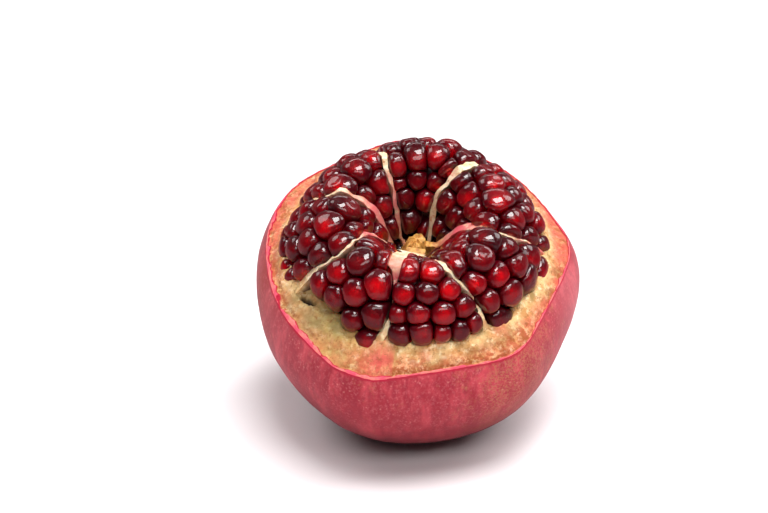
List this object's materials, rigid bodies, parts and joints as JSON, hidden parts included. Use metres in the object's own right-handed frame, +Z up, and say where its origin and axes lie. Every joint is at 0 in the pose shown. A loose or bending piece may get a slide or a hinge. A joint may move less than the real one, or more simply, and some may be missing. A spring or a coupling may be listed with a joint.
{
  "type": "pomegranate",
  "caption": "Ripe pomegranate with its top peeled away, leaning on a small flat spot: rind with thin membranes, and a packed bunch of juicy arils in each chamber.",
  "frame": {"origin": "middle of the small flat spot that the fruit rests on", "axes": "+Z up from the surface it rests on; -Y is the side that the opened top leans towards; +X to the right seen from that side"},
  "size_m": [0.0944, 0.0936, 0.0861],
  "materials": {
    "rind": "satin rose-red skin with fine pale speckles, over cream spongy pith and thin cream membranes",
    "arils": "wet, glossy, clear dark red flesh"
  },
  "bodies": {
    "root": {"rind": "rind", "arils_front": "arils", "arils_right": "arils", "arils_rear_right": "arils", "arils_rear": "arils", "arils_rear_left": "arils", "arils_left": "arils", "arils_front_left": "arils"}
  },
  "joints": []
}
